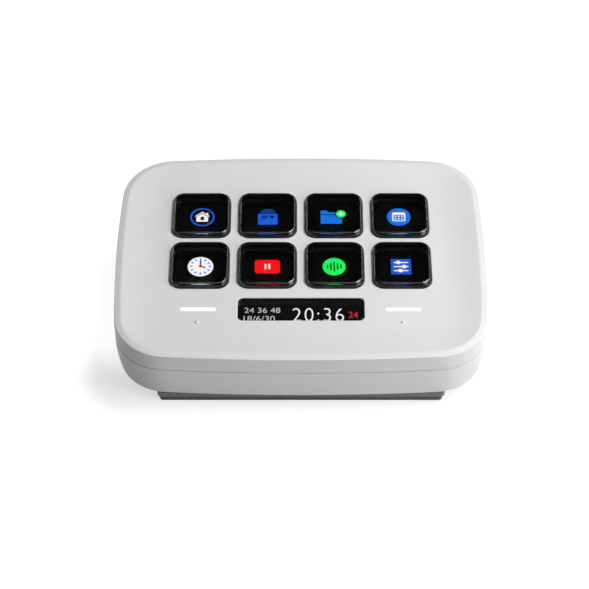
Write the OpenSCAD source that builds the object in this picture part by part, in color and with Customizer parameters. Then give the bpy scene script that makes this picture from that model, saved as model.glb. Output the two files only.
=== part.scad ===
// Desk keypad with eight display keys, a strip display and two touch points.
// Millimetres. +Z is up, the front edge is towards -Y, and the origin is at the
// middle of the foot's underside. The face is tilted towards the user: the "face
// frame" used by on_face() has its origin on the rim plane, X to the right, Y up
// the face and Z out of it.

/* [Housing] */
// Width of the housing across the rim
housing_w = 107; // [102:1:116]
// Depth of the housing, measured along the tilted face
housing_d = 78.2; // [76:0.5:84]
// Height of the back of the rim above the table
height = 26; // [24.5:0.5:32]
// Tilt of the face towards the user, in degrees
face_tilt = 4.5; // [3:0.5:6]
// Radius of the rim's corners, seen from above
corner_r = 15.3; // [12:0.5:18]
// Radius of the slight outward bow of the left and right sides
side_bow_r = 380; // [250:10:900]
// Radius of the slight outward bow of the front and back
end_bow_r = 635; // [350:5:1200]
// Thickness of the side walls and the floor
wall = 2; // [1.6:0.1:2.4]
// Inward lean of the walls for each mm of their height
wall_draft = 0.07; // [0.02:0.01:0.1]
// Radius of the edge between the walls and the underside
bottom_edge_r = 0.3; // [0.2:0.05:1]
// Height of the upper shell's wall below the rim
upper_wall_h = 5.7; // [5:0.1:7]
// Width and depth of the shadow line between the shells
seam_w = 0.3; // [0.2:0.05:0.5]
// Height of the lower shell's lip inside the upper shell
lip_h = 1.5; // [1:0.1:2]
// Thickness of that lip
lip_t = 0.9; // [0.7:0.1:1.1]
// Clearance round the lip
lip_clear = 0.1; // [0.05:0.05:0.2]

/* [Face] */
// Width of the rim band that slopes outwards
rim_w = 1.8; // [1.2:0.1:2.6]
// Fall of the rim band before its outer edge rounds over
rim_fall = 0.5; // [0.3:0.05:0.6]
// Radius of the rim's outer edge
rim_edge_r = 0.15; // [0.1:0.05:0.3]
// Width of the soft slope from the rim down to the key area
dish_w = 11; // [8:0.5:12]
// Depth of the key area below the rim
dish_depth = 1; // [0.6:0.1:1.4]
// Thickness of the plate round the keys
plate_t = 1.2; // [1:0.1:1.6]
// Base radius of the raised dots below the light bars
dot_r = 0.57; // [0.4:0.01:0.8]
// Height of those dots
dot_h = 0.28; // [0.2:0.02:0.4]
// Distance of the dots from the middle of the light bars
dot_drop = 4.95; // [4:0.05:6]

/* [Keys] */
// Distance from key to key, both ways
key_pitch = 19.45; // [19.3:0.05:20.2]
// Width and depth of a key cap
key_w = 17.05; // [16:0.05:17.2]
// Corner radius of a key cap
key_corner_r = 3.3; // [2.6:0.1:4.5]
// How far a key stands above the face
key_stand = 1.6; // [1.6:0.1:2.2]
// Width of a key's rounded shoulder
key_shoulder_w = 1.3; // [0.7:0.05:1.5]
// Height of a key's rounded shoulder
key_shoulder_h = 0.95; // [0.5:0.05:1]
// Travel of a key
key_travel = 1; // [0.6:0.1:1.1]
// Gap between a key and its window
key_gap = 0.2; // [0.1:0.05:0.3]
// Centre of the block of keys above the middle of the face
key_block_y = 5.98; // [5.5:0.01:6.2]
// Width of the black frame under the lens of a key
skirt_t = 1; // [0.8:0.1:1.4]
// Height of the black frame above the face, where the lens rests on it
lens_seat_h = 0.4; // [0.1:0.05:0.5]
// Lip of the frame that stops the key under the plate
flange_lip = 0.7; // [0.5:0.05:0.8]
// Thickness of that lip
flange_t = 0.6; // [0.5:0.05:1]
// Free gap above the lip with the key at rest
stop_gap = 0.05; // [0.02:0.01:0.1]
// Height of the silicone collar that lifts a key, when fully squashed
collar_solid_h = 0.4; // [0.3:0.05:0.9]
// Clearance between a key's lip and the guide frame
guide_clear = 0.15; // [0.1:0.01:0.2]
// Width of the guide frame's outer border
guide_border = 1; // [0.8:0.1:1.4]

/* [Displays] */
// Thickness of the contact board under the collars
contact_t = 0.4; // [0.3:0.1:0.8]
// Thickness of the key display
lcd_t = 2.5; // [2:0.1:3]
// Margin of the key display round the block of keys
lcd_margin = 0.2; // [0:0.1:0.5]
// Thickness of the tray that holds the key display
tray_t = 1.2; // [1:0.1:2]
// Width of the strip window
strip_w = 36.1; // [32:0.1:40]
// Depth of the strip window
strip_d = 8.45; // [8:0.05:9]
// Corner radius of the strip window
strip_corner_r = 1.6; // [1:0.1:2.4]
// Centre of the strip window below the middle of the face
strip_y = -19.97; // [-21:0.01:-19.9]
// How far the strip's pane lies below the face
pane_recess = 0.15; // [0.1:0.05:0.4]
// Clearance round the pane
pane_clear = 0.06; // [0.04:0.01:0.15]
// Margin of the pane's flange
pane_flange = 1; // [0.8:0.1:1.1]
// Thickness of that flange
pane_flange_t = 0.8; // [0.6:0.1:1.2]
// Thickness of the strip display
strip_display_t = 1.4; // [1:0.1:2]

/* [Touch points] */
// Distance of the touch points from the middle, left and right
touch_x = 29.15; // [27:0.05:31]
// Length of a light bar
bar_l = 10.3; // [8:0.1:12]
// Width of a light bar
bar_w = 1.5; // [1:0.1:2]
// Clearance round a light bar
bar_clear = 0.05; // [0.03:0.01:0.1]
// Margin of the flange under a light bar
bar_flange = 1; // [0.6:0.1:1.4]
// Thickness of that flange
bar_flange_t = 0.8; // [0.6:0.1:1.2]
// Thickness of the touch electrodes
electrode_t = 0.25; // [0.15:0.05:0.4]
// Thickness of the small boards that light the bars
led_board_t = 0.8; // [0.6:0.1:1.2]
// Height of the lamps on those boards
led_h = 0.6; // [0.4:0.1:1]

/* [Foot] */
// Width of the base plate
base_w = 81.8; // [78:0.1:84]
// Depth of the base plate
base_d = 73.8; // [70:0.1:74]
// Thickness of the base plate
base_t = 1.7; // [1.5:0.1:2.5]
// Corner radius of the base plate
base_corner_r = 1.2; // [0.8:0.1:4]
// Thickness of the rubber pad
pad_t = 2.2; // [1.6:0.1:3]
// Inset of the rubber pad from the base plate
pad_inset = 0.65; // [0.4:0.05:1.5]
// Corner radius of the rubber pad
pad_corner_r = 1; // [0.6:0.1:3]

/* [Boards] */
// Width of the main board
board_w = 60; // [58:1:62]
// Depth of the main board
board_d = 50; // [48:1:51]
// Thickness of the main board
board_t = 1.2; // [1:0.1:1.6]
// Gap between the steel plate and the main board
board_gap = 0.5; // [0.4:0.1:0.8]
// Thickness of the steel plate
ballast_t = 2; // [1.5:0.1:2.2]
// Width of the USB-C inlet
usb_w = 8.94; // [8.9:0.01:9]
// Height of the USB-C inlet
usb_h = 3.16; // [3.1:0.01:3.3]
// Depth of the USB-C inlet
usb_d = 7.35; // [6.5:0.05:8]
// Clearance round the inlet in the wall
usb_clear = 0.35; // [0.25:0.05:0.5]

/* [Screws] */
// Shank radius of the case screws
case_screw_r = 1.2; // [1:0.1:1.4]
// Sideways place of the case screws
case_screw_x = 34; // [33:0.5:35]
// Place of the case screws, forwards and backwards
case_screw_y = 31.4; // [31:0.1:31.6]
// Height of the seam between the screw pillars
pillar_top_z = 12.9; // [12:0.1:13.5]
// Wall round a case screw in its pillar and boss
pillar_wall = 1.6; // [1.4:0.1:1.8]
// Shank radius of the small screws
small_screw_r = 0.8; // [0.7:0.05:0.9]
// Wall round a small screw in its boss
boss_wall = 1.4; // [1.2:0.1:1.6]

/* [Hidden] */
$fn = 48;
KEYS = 8;
KEY_COLUMNS = 4;
KEY_ROWS = 2;

sliver = 0.01;               // overlap that makes joined solids one
sink = 0.6;                  // how far a boss runs into the plate above it
DISH_STEPS = 6;              // rings down the slope of the dish
DISH_POWER = 1.8;            // how much steeper the slope is at the rim
LENS_CORNER_STEPS = 7;       // facets of a lens's corner
LENS_SHOULDER_STEPS = 4;     // facets down its shoulder

// --- small clearances and inner details ------------------------------------------
screw_clear = 0.02;          // round a screw in its threaded hole
thread_end = 0.3;            // free depth under the tip of a screw
case_hole_clear = 0.15;      // round a case screw where it passes through
case_thread_h = 4.6;         // threaded depth in the upper shell
case_head_r = 2.3;
case_head_h = 0.9;
case_boss_r = case_screw_r + pillar_wall;
small_hole_clear = 0.1;      // round a small screw where it passes through
small_boss_r = small_screw_r + boss_wall;
small_head_r = 1.5;
small_head_h = 0.9;
board_thread_h = 3.5;
tray_thread_h = 3.6;
lens_seat_clear = 0.03;      // round the lens's boss in the black frame
collar_margin = 0.2;         // the collar's foot is this much narrower than the lip
collar_step = 0.4;           // its upper part stands in by this much
view_clear = 0.3;            // the clear view is this much wider than the frame's
view_w = key_w - 2 * skirt_t + view_clear;
view_r = key_corner_r - skirt_t;
block_w = (KEY_COLUMNS - 1) * key_pitch + key_w;
block_d = (KEY_ROWS - 1) * key_pitch + key_w;
guide_cell_w = key_w + 2 * flange_lip + 2 * guide_clear;
board_corner_r = 1.5;
tray_screw_x = 43.5;
tray_screw_rows = [20, -8];
tray_ear_d = 7;
tray_step = 2;               // the tray is this much shallower than the display
led_w = 1.6;
led_d = 1.2;
led_pitch = 5;
electrode_w = 15;
electrode_d = 5.8;
electrode_corner_r = 1;
electrode_shift = 0.4;       // the electrode lies this far in front of its dot
connector_h = 1.5;
connector_d = 4;
connector_margin = 1;        // the connector is this much wider than its ribbon, each side
connector_setback = 2;       // from the board's front edge
ribbon_t = 0.3;
ribbon_lead = 0.8;           // straight stretch before a ribbon turns
lcd_ribbon_x = -15;
lcd_ribbon_w = 14;
lcd_ribbon_end_y = 23;
strip_ribbon_w = 8;
usb_shell_t = 0.3;
usb_tongue_w = 6.7;
usb_tongue_t = 0.7;
usb_setback = 0.6;           // the inlet's mouth lies this far inside the wall
board_wall_gap = 0.3;        // between the board and the back wall
board_screw_edge_x = 4;      // board screws, from the board's edges
board_screw_edge_y = 5;
ballast_clear = 0.3;         // round the board bosses in the steel plate

// --- heights in the face frame -------------------------------------------------
collar_h = key_travel + collar_solid_h;
face_n = -dish_depth;                        // the key area
plate_n = face_n - plate_t;                  // underside of the plate
flange_n = plate_n - stop_gap;               // top of the keys' lips
key_base_n = flange_n - flange_t;            // underside of the keys
contact_n = key_base_n - collar_h;           // top of the contact board
lcd_n = contact_n - contact_t;               // top of the key display
tray_n = lcd_n - lcd_t;                      // top of the tray
pane_base_n = plate_n - pane_flange_t;       // underside of the pane
bar_base_n = plate_n - bar_flange_t;         // underside of a light bar
rim_edge_n = -rim_fall - rim_edge_r;         // where the wall starts
lens_seat_n = face_n + lens_seat_h;          // where lens and frame meet

// --- heights above the table ---------------------------------------------------
half_d = housing_d / 2;
half_w = housing_w / 2;
face_z = height - (half_d - rim_w) * sin(face_tilt);
base_z = pad_t;
floor_z = pad_t + base_t;                    // underside of the housing
inner_floor_z = floor_z + wall;
board_z = inner_floor_z + ballast_t + board_gap;
board_top_z = board_z + board_t;
usb_z = board_top_z + usb_h / 2;

// --- outline of the rim --------------------------------------------------------
// Four bowed edges and four round corners that are tangent to them. Every point is
// kept as [centre of its arc, radius, angle], so that an inset only shortens the
// radius and every inset outline has the same number of points.
CORNER_STEPS = 14;
EDGE_STEPS = 4;
side_c = [half_w - side_bow_r, 0];
end_c = [0, half_d - end_bow_r];
corner_c = let (
    apart = norm(end_c - side_c),
    r1 = side_bow_r - corner_r,
    r2 = end_bow_r - corner_r,
    along = (r1 * r1 - r2 * r2 + apart * apart) / (2 * apart),
    across = sqrt(r1 * r1 - along * along),
    e = (end_c - side_c) / apart)
    side_c + along * e + across * [-e.y, e.x];
side_end_a = atan2(corner_c.y, corner_c.x - side_c.x);
end_start_a = atan2(corner_c.y - end_c.y, corner_c.x);
quarter = concat(
    [for (i = [0:EDGE_STEPS - 1]) [side_c, side_bow_r, side_end_a * i / EDGE_STEPS]],
    [for (i = [0:CORNER_STEPS])
        [corner_c, corner_r,
         side_end_a + (end_start_a - side_end_a) * i / CORNER_STEPS]],
    [for (i = [1:EDGE_STEPS])
        [end_c, end_bow_r, end_start_a + (90 - end_start_a) * i / EDGE_STEPS]]);
last = len(quarter) - 1;
function flip_x(p) = [[-p[0].x, p[0].y], p[1], 180 - p[2]];
function flip_y(p) = [[p[0].x, -p[0].y], p[1], -p[2]];
outline = concat(
    [for (i = [0:last - 1]) quarter[i]],
    [for (i = [last:-1:1]) flip_x(quarter[i])],
    [for (i = [0:last - 1]) flip_y(flip_x(quarter[i]))],
    [for (i = [last:-1:1]) flip_y(quarter[i])]);

function arc_point(p, inset) = p[0] + (p[1] - inset) * [cos(p[2]), sin(p[2])];
// A point of the face frame, in the part's own frame
function from_face(u, v, n) =
    [u, v * cos(face_tilt) - n * sin(face_tilt),
     face_z + v * sin(face_tilt) + n * cos(face_tilt)];
// Height above the table of the point at y in the plane n of the face frame
function plane_z(y, n) = face_z + (n + y * sin(face_tilt)) / cos(face_tilt);

// A ring parallel to the face, and a ring on the leaning wall at a fall below the
// rim's edge or at a height above the table
function face_ring(inset, n) =
    [for (p = outline) let (q = arc_point(p, inset)) from_face(q.x, q.y, n)];
function wall_ring(inset, fall) =
    [for (p = outline) let (q = arc_point(p, inset + wall_draft * fall))
        from_face(q.x, q.y, rim_edge_n) - [0, 0, fall]];
function level_ring(inset, z) =
    [for (p = outline)
        let (fall = from_face(0, arc_point(p, 0).y, rim_edge_n).z - z,
             q = arc_point(p, inset + wall_draft * fall))
        [q.x, from_face(0, q.y, rim_edge_n).y, z]];

// --- places that follow from the walls -------------------------------------------
plate_inset = rim_w + dish_w;
back_edge = from_face(0, half_d, rim_edge_n);
usb_mouth_y = back_edge.y - wall_draft * (back_edge.z - usb_z) - usb_setback;
board_bow = pow(board_w / 2, 2) / (2 * end_bow_r);   // the wall's bow over the board
board_y = usb_mouth_y + usb_setback - wall_draft * (usb_z - inner_floor_z) - wall
    - board_bow - board_wall_gap - board_d / 2;
board_screw_dx = board_w / 2 - board_screw_edge_x;
board_screw_dy = board_d / 2 - board_screw_edge_y;
strip_ribbon_end_y = board_y - board_d / 2 + connector_setback;
connector_z = board_top_z + connector_h / 2;

// --- general shapes ------------------------------------------------------------
module on_face() {
    translate([0, 0, face_z]) rotate([face_tilt, 0, 0]) children();
}

// A solid skin through rings of equal length, capped at the first and last ring
module loft(rings) {
    rows = len(rings);
    cols = len(rings[0]);
    polyhedron(
        points = [for (r = rings) each r],
        faces = concat(
            [[for (j = [cols - 1:-1:0]) j]],
            loft_sides(rows, cols),
            [[for (j = [0:cols - 1]) (rows - 1) * cols + j]]));
}

function loft_sides(rows, cols) =
    [for (i = [0:rows - 2], j = [0:cols - 1])
        let (k = (j + 1) % cols,
             a = i * cols + j, b = i * cols + k,
             c = (i + 1) * cols + k, d = (i + 1) * cols + j)
        each [[a, b, c], [a, c, d]]];

module rounded_rect(w, d, r) {
    square([w - 2 * r, d], center = true);
    square([w, d - 2 * r], center = true);
    for (sx = [-1, 1], sy = [-1, 1])
        translate([sx * (w / 2 - r), sy * (d / 2 - r)]) circle(r);
}

module slab(w, d, r, top, bottom) {
    translate([0, 0, bottom]) linear_extrude(top - bottom) rounded_rect(w, d, r);
}

module case_screw_places() {
    for (sx = [-1, 1], sy = [-1, 1])
        translate([sx * case_screw_x, sy * case_screw_y, 0]) children();
}

function key_at(k) =
    let (i = k - 1)
    [(i % KEY_COLUMNS - (KEY_COLUMNS - 1) / 2) * key_pitch,
     key_block_y + ((KEY_ROWS - 1) / 2 - floor(i / KEY_COLUMNS)) * key_pitch];

module each_key() {
    for (k = [1:KEYS]) translate(key_at(k)) children();
}

// --- housing -------------------------------------------------------------------
// Rings over the rim, from the flat key area out to the top of the wall
function rim_rings() = concat(
    [for (i = [0:DISH_STEPS - 1])
        face_ring(plate_inset - dish_w * i / DISH_STEPS,
                  -dish_depth * (1 - pow(i / DISH_STEPS, DISH_POWER)))],
    [face_ring(rim_w, 0),
     face_ring(rim_edge_r, -rim_fall),
     face_ring(rim_edge_r * (1 - sin(60)), -rim_fall - rim_edge_r * (1 - cos(60))),
     face_ring(0, rim_edge_n)]);

module top_shell() {
    rebate = wall - lip_t - lip_clear;
    color("whitesmoke") difference() {
        union() {
            loft(concat(rim_rings(),
                [wall_ring(0, upper_wall_h - seam_w),
                 wall_ring(seam_w, upper_wall_h - seam_w),
                 wall_ring(seam_w, upper_wall_h),
                 wall_ring(rebate, upper_wall_h),
                 wall_ring(rebate, upper_wall_h - lip_h - lip_clear),
                 wall_ring(wall, upper_wall_h - lip_h - lip_clear),
                 face_ring(wall, plate_n)]));
            on_face() touch_dots();
            top_bosses();
        }
        on_face() translate([0, 0, plate_n - wall]) linear_extrude(plate_t + 2 * wall)
            face_windows();
        case_screw_places() translate([0, 0, pillar_top_z - sliver])
            cylinder(r = case_screw_r + screw_clear, h = case_thread_h + sliver);
        on_face() tray_screw_places() translate([0, 0, tray_n - sliver])
            cylinder(r = small_screw_r + screw_clear, h = tray_thread_h + sliver);
    }
}

module face_windows() {
    each_key() rounded_rect(key_w + 2 * key_gap, key_w + 2 * key_gap,
                            key_corner_r + key_gap);
    translate([0, strip_y]) rounded_rect(strip_w, strip_d, strip_corner_r);
    for (sx = [-1, 1]) translate([sx * touch_x, strip_y])
        rounded_rect(bar_l, bar_w, bar_w / 2 - sliver);
}

module touch_dots() {
    ball_r = (dot_r * dot_r + dot_h * dot_h) / (2 * dot_h);
    for (sx = [-1, 1])
        translate([sx * touch_x, strip_y - dot_drop, face_n + dot_h - ball_r])
            intersection() {
                sphere(ball_r);
                translate([0, 0, ball_r - dot_h - sliver])
                    cylinder(r = ball_r, h = ball_r);
            }
}

module top_bosses() {
    for (sx = [-1, 1], sy = [-1, 1])
        translate([sx * case_screw_x, sy * case_screw_y, pillar_top_z])
            cylinder(r = case_boss_r,
                     h = plane_z(sy * case_screw_y, plate_n + sink) - pillar_top_z);
    on_face() tray_screw_places() translate([0, 0, tray_n])
        cylinder(r = small_boss_r, h = plate_n + sink - tray_n);
}

module bottom_shell() {
    color("whitesmoke") difference() {
        union() {
            loft([
                level_ring(wall, inner_floor_z),
                wall_ring(wall, upper_wall_h - lip_h),
                wall_ring(wall - lip_t, upper_wall_h - lip_h),
                wall_ring(wall - lip_t, upper_wall_h),
                wall_ring(0, upper_wall_h),
                level_ring(0, floor_z + bottom_edge_r),
                level_ring(bottom_edge_r * (1 - cos(45)),
                           floor_z + bottom_edge_r * (1 - sin(45))),
                level_ring(bottom_edge_r, floor_z)]);
            case_screw_places() translate([0, 0, floor_z + sliver])
                cylinder(r = case_boss_r, h = pillar_top_z - floor_z - sliver);
            board_screw_places() translate([0, 0, floor_z + sliver])
                cylinder(r = small_boss_r, h = board_z - floor_z - sliver);
        }
        case_screw_places() translate([0, 0, floor_z - sliver])
            cylinder(r = case_screw_r + case_hole_clear, h = pillar_top_z);
        board_screw_places() translate([0, 0, board_z - board_thread_h])
            cylinder(r = small_screw_r + screw_clear, h = board_thread_h + sliver);
        usb_hole();
    }
}

// Hole in the back wall round the mouth of the USB-C inlet
module usb_hole() {
    translate([0, usb_mouth_y, usb_z]) rotate([90, 0, 0])
        translate([0, 0, -wall]) linear_extrude(3 * wall)
            rounded_rect(usb_w + 2 * usb_clear, usb_h + 2 * usb_clear,
                         usb_h / 2 + usb_clear - sliver);
}

module base_plate() {
    color("gainsboro") difference() {
        slab(base_w, base_d, base_corner_r, floor_z, base_z);
        case_screw_places() {
            translate([0, 0, base_z - sliver])
                cylinder(r = case_screw_r + case_hole_clear, h = base_t + 2 * sliver);
            translate([0, 0, base_z - sliver])
                cylinder(r = case_head_r + case_hole_clear, h = case_head_h + sliver);
        }
    }
}

module rubber_foot() {
    color("darkgray")
        slab(base_w - 2 * pad_inset, base_d - 2 * pad_inset,
             pad_corner_r, pad_t, 0);
}

// --- keys ----------------------------------------------------------------------

function square_ring(w, r, inset, n) =
    [for (q = [0:3], i = [0:LENS_CORNER_STEPS])
        let (a = q * 90 + 90 * i / LENS_CORNER_STEPS,
             c = (w / 2 - r) * [q == 0 || q == 3 ? 1 : -1, q < 2 ? 1 : -1])
        [each (c + (r - inset) * [cos(a), sin(a)]), n]];

// Clear lens with a rounded shoulder, and a boss that drops into the black frame
module key_cap(k) {
    top_n = face_n + key_stand;
    boss_w = key_w - 2 * skirt_t - 2 * lens_seat_clear;
    boss_r = key_corner_r - skirt_t - lens_seat_clear;
    shoulder = [for (i = [LENS_SHOULDER_STEPS:-1:0]) let (a = 90 * i / LENS_SHOULDER_STEPS)
        square_ring(key_w, key_corner_r, key_shoulder_w * (1 - cos(a)),
                    top_n - key_shoulder_h * (1 - sin(a)))];
    color([0.1, 0.1, 0.12, 0.6]) on_face() translate(key_at(k)) {
        loft(concat(shoulder, [square_ring(key_w, key_corner_r, 0, lens_seat_n)]));
        slab(boss_w, boss_w, boss_r, lens_seat_n + sliver, key_base_n);
    }
}

// Black frame round the lens, with the lip that stops the key under the plate
module key_frame(k) {
    lip_w = key_w + 2 * flange_lip;
    opening_w = key_w - 2 * skirt_t;
    opening_r = key_corner_r - skirt_t;
    color("black") on_face() translate(key_at(k)) difference() {
        union() {
            slab(key_w, key_w, key_corner_r, lens_seat_n, key_base_n);
            slab(lip_w, lip_w, key_corner_r + flange_lip, flange_n, key_base_n);
        }
        slab(opening_w, opening_w, opening_r, lens_seat_n + sliver, key_base_n - sliver);
    }
}

// Silicone collar: a thin-walled square ring with a foot on the contact board
module collar(k) {
    collar_w = key_w + 2 * flange_lip - collar_margin;
    foot_h = collar_h / 4;
    color("dimgray") on_face() translate(key_at(k)) difference() {
        union() {
            slab(collar_w, collar_w, key_corner_r, contact_n + foot_h, contact_n);
            slab(collar_w - 2 * collar_step, collar_w - 2 * collar_step,
                 key_corner_r - collar_step, key_base_n, contact_n);
        }
        slab(view_w, view_w, view_r, key_base_n + sliver, contact_n - sliver);
    }
}

// Outline shared by the guide frame and the contact board below it
module key_block_outline() {
    translate([0, key_block_y])
        rounded_rect((KEY_COLUMNS - 1) * key_pitch + guide_cell_w + 2 * guide_border,
                     (KEY_ROWS - 1) * key_pitch + guide_cell_w + 2 * guide_border,
                     key_corner_r + flange_lip);
}

module key_guide_frame() {
    color("dimgray") on_face() translate([0, 0, contact_n])
        linear_extrude(plate_n - contact_n) difference() {
            key_block_outline();
            each_key() rounded_rect(guide_cell_w, guide_cell_w, key_corner_r + flange_lip);
        }
}

// --- displays ------------------------------------------------------------------
module contact_board() {
    color("darkgreen") on_face() translate([0, 0, lcd_n])
        linear_extrude(contact_t) difference() {
            key_block_outline();
            each_key() rounded_rect(view_w, view_w, view_r);
        }
}

module lcd_panel() {
    color("black") on_face() translate([0, key_block_y])
        slab(block_w + 2 * lcd_margin, block_d + 2 * lcd_margin, board_corner_r,
             lcd_n, tray_n);
}

module tray_screw_places() {
    for (sx = [-1, 1], y = tray_screw_rows) translate([sx * tray_screw_x, y]) children();
}

// Steel tray that clamps the key display, the contact board and the guide frame
module lcd_tray() {
    color("silver") on_face() translate([0, 0, tray_n - tray_t])
        linear_extrude(tray_t) difference() {
            union() {
                translate([0, key_block_y])
                    rounded_rect(block_w + 2 * lcd_margin, block_d - tray_step,
                                 board_corner_r);
                for (y = tray_screw_rows) translate([0, y])
                    rounded_rect(2 * tray_screw_x + tray_ear_d, tray_ear_d,
                                 tray_ear_d / 2 - sliver);
            }
            tray_screw_places() circle(small_screw_r + small_hole_clear);
        }
}

module strip_pane() {
    color([0.05, 0.05, 0.06, 0.8]) on_face() translate([0, strip_y]) {
        slab(strip_w - 2 * pane_clear, strip_d - 2 * pane_clear,
             strip_corner_r - pane_clear, face_n - pane_recess, plate_n - sliver);
        slab(strip_w + 2 * pane_flange, strip_d + 2 * pane_flange,
             strip_corner_r, plate_n, pane_base_n);
    }
}

module strip_display() {
    color("black") on_face() translate([0, strip_y])
        slab(strip_w + 2 * pane_flange, strip_d + 2 * pane_flange, strip_corner_r / 2,
             pane_base_n, pane_base_n - strip_display_t);
}

// --- touch points --------------------------------------------------------------
module light_bar(side) {
    color("white") on_face() translate([side * touch_x, strip_y]) {
        slab(bar_l - 2 * bar_clear, bar_w - 2 * bar_clear, bar_w / 2 - bar_clear - sliver,
             face_n, plate_n - sliver);
        slab(bar_l + 2 * bar_flange, bar_w + 2 * bar_flange, bar_w / 2,
             plate_n, bar_base_n);
    }
}

module led_board(side) {
    board_n = bar_base_n - led_h;
    on_face() translate([side * touch_x, strip_y]) {
        color("lightyellow") for (x = [-led_pitch / 2, led_pitch / 2])
            translate([x, 0, board_n + led_h / 2])
                cube([led_w, led_d, led_h], center = true);
        color("darkgreen")
            slab(bar_l + 2 * bar_flange, bar_w + 3 * bar_flange, bar_w / 2,
                 board_n, board_n - led_board_t);
    }
}

module touch_electrode(side) {
    color("peru") on_face() translate([side * touch_x, strip_y - dot_drop - electrode_shift])
        slab(electrode_w, electrode_d, electrode_corner_r, plate_n, plate_n - electrode_t);
}

// --- boards, cables and ballast --------------------------------------------------
module board_screw_places() {
    for (sx = [-1, 1], sy = [-1, 1])
        translate([sx * board_screw_dx, board_y + sy * board_screw_dy, 0]) children();
}

module main_board() {
    color("seagreen") difference() {
        translate([0, board_y]) slab(board_w, board_d, board_corner_r,
                                     board_top_z, board_z);
        board_screw_places() translate([0, 0, board_z - sliver])
            cylinder(r = small_screw_r + small_hole_clear, h = board_t + 2 * sliver);
    }
}

// Each chip: [x, y from the board's centre, width, depth, height]
chips = [[8, -6, 10, 10, 1.2], [-9, -8, 7, 7, 1], [-20, -10, 6, 5, 0.9],
         [19, -8, 5, 4, 1.1], [12, 10, 4, 4, 1.6], [19, 2, 4, 3, 1]];

module board_chips() {
    color("black") {
        for (c = chips)
            translate([c[0] - c[2] / 2, board_y + c[1] - c[3] / 2, board_top_z])
                cube([c[2], c[3], c[4]]);
        translate([lcd_ribbon_x - lcd_ribbon_w / 2 - connector_margin, lcd_ribbon_end_y - connector_d,
                   board_top_z])
            cube([lcd_ribbon_w + 2 * connector_margin, connector_d, connector_h]);
        translate([-strip_ribbon_w / 2 - connector_margin, strip_ribbon_end_y, board_top_z])
            cube([strip_ribbon_w + 2 * connector_margin, connector_d, connector_h]);
    }
}

// A flat cable in a plane across X: out of a display, round a half turn, and back to
// its connector. The cable leaves at start = [y, z] in the direction dir along Y.
module ribbon(start, stop, dir, w) {
    r = (start.y - stop.y) / 2;
    turn_y = dir * max(dir * start.x, dir * stop.x) + dir * ribbon_lead;
    rotate([90, 0, 90]) translate([0, 0, -w / 2]) linear_extrude(w) {
        flat_run(start, turn_y);
        flat_run(stop, turn_y);
        intersection() {
            translate([turn_y, stop.y + r]) difference() {
                circle(r + ribbon_t / 2);
                circle(r - ribbon_t / 2);
            }
            translate([turn_y - (dir > 0 ? sliver : 2 * r), stop.y - ribbon_t])
                square([2 * r + sliver, 2 * r + 2 * ribbon_t]);
        }
    }
}

module flat_run(from, to_y) {
    translate([min(from.x, to_y), from.y - ribbon_t / 2])
        square([abs(to_y - from.x), ribbon_t]);
}

module lcd_ribbon() {
    start = from_face(0, key_block_y + block_d / 2 + lcd_margin, tray_n + lcd_t / 3)
        + [0, ribbon_t / 2 * tan(face_tilt), 0];
    color("orange") translate([lcd_ribbon_x, 0, 0])
        ribbon([start.y, start.z], [lcd_ribbon_end_y, connector_z], 1, lcd_ribbon_w);
}

module strip_ribbon() {
    start = from_face(0, strip_y - strip_d / 2 - pane_flange,
                      pane_base_n - strip_display_t / 2);
    color("orange")
        ribbon([start.y, start.z], [strip_ribbon_end_y, connector_z], -1, strip_ribbon_w);
}

module usb_c_socket() {
    shell_r = usb_h / 2 - sliver;
    color("silver") translate([0, usb_mouth_y, usb_z]) rotate([90, 0, 0]) {
        difference() {
            linear_extrude(usb_d) rounded_rect(usb_w, usb_h, shell_r);
            translate([0, 0, -sliver]) linear_extrude(usb_d - usb_shell_t)
                rounded_rect(usb_w - 2 * usb_shell_t, usb_h - 2 * usb_shell_t,
                             shell_r - usb_shell_t);
        }
        translate([0, 0, usb_shell_t]) linear_extrude(usb_d - usb_shell_t)
            square([usb_tongue_w, usb_tongue_t], center = true);
    }
}

module ballast_plate() {
    color("slategray") difference() {
        translate([0, board_y]) slab(board_w, board_d, board_corner_r,
                                     inner_floor_z + ballast_t, inner_floor_z);
        board_screw_places() translate([0, 0, inner_floor_z - sliver])
            cylinder(r = small_boss_r + ballast_clear,
                     h = ballast_t + 2 * sliver);
    }
}

// --- screws ----------------------------------------------------------------------
module case_screws() {
    color("dimgray") case_screw_places() {
        translate([0, 0, base_z]) cylinder(r = case_head_r, h = case_head_h);
        translate([0, 0, base_z])
            cylinder(r = case_screw_r, h = pillar_top_z + case_thread_h - thread_end - base_z);
    }
}

module board_screws() {
    color("dimgray") board_screw_places() {
        translate([0, 0, board_top_z]) cylinder(r = small_head_r, h = small_head_h);
        translate([0, 0, board_z - board_thread_h + thread_end])
            cylinder(r = small_screw_r, h = board_thread_h - thread_end + board_t + sliver);
    }
}

module tray_screws() {
    color("dimgray") on_face() tray_screw_places() {
        translate([0, 0, tray_n - tray_t - small_head_h])
            cylinder(r = small_head_r, h = small_head_h);
        translate([0, 0, tray_n - tray_t - sliver])
            cylinder(r = small_screw_r, h = tray_thread_h - thread_end + tray_t + sliver);
    }
}

top_shell();
bottom_shell();
base_plate();
rubber_foot();
ballast_plate();
key_guide_frame();
contact_board();
lcd_panel();
lcd_tray();
lcd_ribbon();
strip_pane();
strip_display();
strip_ribbon();
main_board();
board_chips();
usb_c_socket();
case_screws();
board_screws();
tray_screws();
light_bar(-1);  // light_bar_left
light_bar(1);  // light_bar_right
led_board(-1);  // led_board_left
led_board(1);  // led_board_right
touch_electrode(-1);  // touch_electrode_left
touch_electrode(1);  // touch_electrode_right
for (k = [1:KEYS]) {
    key_cap(k);
    key_frame(k);
    collar(k);
}
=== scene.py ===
import math

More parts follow.
